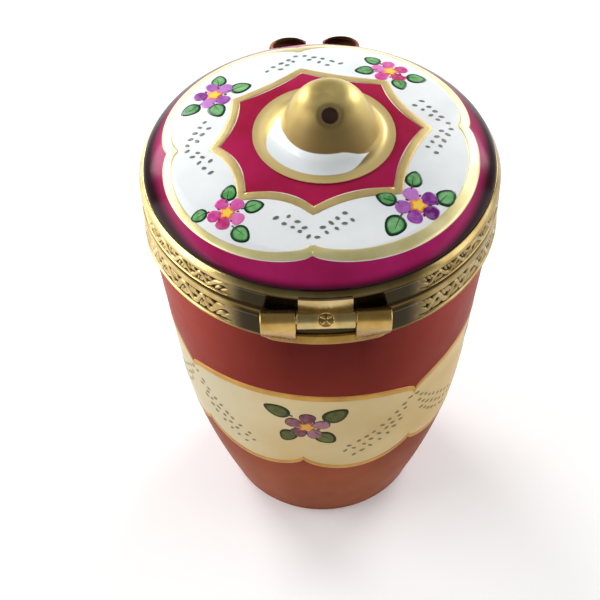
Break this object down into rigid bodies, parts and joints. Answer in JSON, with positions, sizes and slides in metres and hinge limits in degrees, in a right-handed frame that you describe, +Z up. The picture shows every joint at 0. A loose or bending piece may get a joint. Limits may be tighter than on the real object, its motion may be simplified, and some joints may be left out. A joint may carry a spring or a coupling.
{
  "type": "hinged powder jar",
  "caption": "Small tapered porcelain powder jar with gilt brass collars, a hinged crowned lid with a gilded knob, and a bow clasp.",
  "frame": {"origin": "centre of the foot, on the plane that the jar rests on", "axes": "+Z up through the knob, -Y towards the hinge, +Y towards the bow clasp"},
  "size_m": [0.04, 0.0444, 0.061],
  "materials": {
    "glazed_jar": "gloss",
    "glazed_lid": "gloss",
    "white_glaze": "gloss",
    "painted_gold": "satin",
    "painted_petals": "gloss",
    "painted_leaves": "gloss",
    "painted_dots": "gloss",
    "gilded_knob": "satin",
    "gilt_collar": "satin",
    "gilt_plain": "polished",
    "pin_brass": "satin",
    "clasp_bronze": "polished",
    "cement": "matte"
  },
  "bodies": {
    "jar": {"jar_body": "glazed_jar", "lower_cement": "cement", "lower_collar": "gilt_collar", "lower_seat_ring": "gilt_plain", "hinge_leaf_lower": "gilt_plain", "hinge_knuckle_left": "gilt_plain", "hinge_knuckle_right": "gilt_plain", "hinge_pin": "pin_brass", "catch_bead": "gilt_plain"},
    "lid": {"lid_shell": "glazed_lid", "lid_knob": "gilded_knob", "upper_cement": "cement", "upper_collar": "gilt_collar", "upper_seat_ring": "gilt_plain", "hinge_leaf_upper": "gilt_plain", "hinge_knuckle_centre": "gilt_plain", "clasp_tongue": "gilt_plain", "bow_loop_left": "clasp_bronze", "bow_loop_right": "clasp_bronze", "bow_knot": "clasp_bronze"}
  },
  "joints": [
    {"name": "lid_hinge", "type": "hinge", "parent": "jar", "child": "lid", "pos_m": [0, -0.0205, 0.0482], "axis": [1, 0, 0], "range_deg": [0, 100]}
  ]
}
